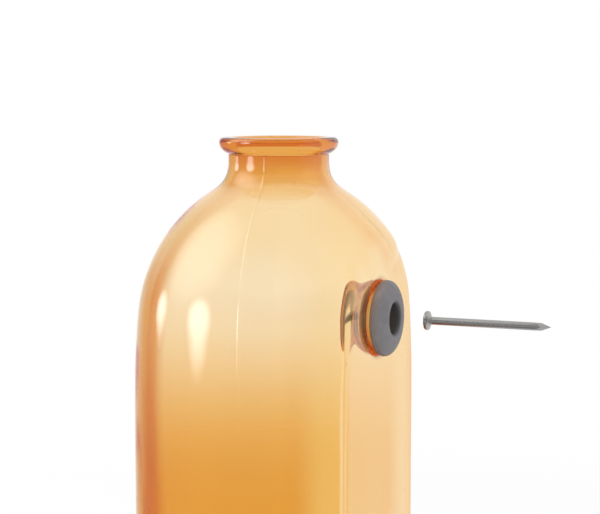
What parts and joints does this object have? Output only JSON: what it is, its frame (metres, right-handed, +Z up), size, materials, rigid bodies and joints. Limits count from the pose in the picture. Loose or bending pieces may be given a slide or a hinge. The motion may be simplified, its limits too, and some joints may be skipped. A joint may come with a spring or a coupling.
{
  "type": "hanging wall vase",
  "caption": "Flat-backed amber glass bottle vase with a rolled lip and a rubber grommet in a blind socket in its back, which pushes over a wall nail so that it hangs.",
  "frame": {"origin": "the point where the nail's axis meets the wall surface", "axes": "+Z up, +Y along the nail into the wall, +X along the wall; the vase stands on the -Y side of the wall"},
  "size_m": [0.0938, 0.1369, 0.175],
  "materials": {
    "amber_glass": "clear, gloss, tinted through",
    "grey_rubber": "matte",
    "bright_steel": "bright drawn wire"
  },
  "bodies": {
    "nail": {"nail": "bright_steel"},
    "grommet": {"grommet": "grey_rubber"},
    "vase": {"glass_vessel": "amber_glass"}
  },
  "joints": [
    {"name": "hang_slide", "type": "slide", "parent": "nail", "child": "grommet", "axis": [0, 1, 0], "range_m": [0, 0.0205]},
    {"name": "swing", "type": "hinge", "parent": "grommet", "child": "vase", "pos_m": [0, -0.0346, 0], "axis": [0, 1, 0], "range_deg": [-25, 25]}
  ]
}
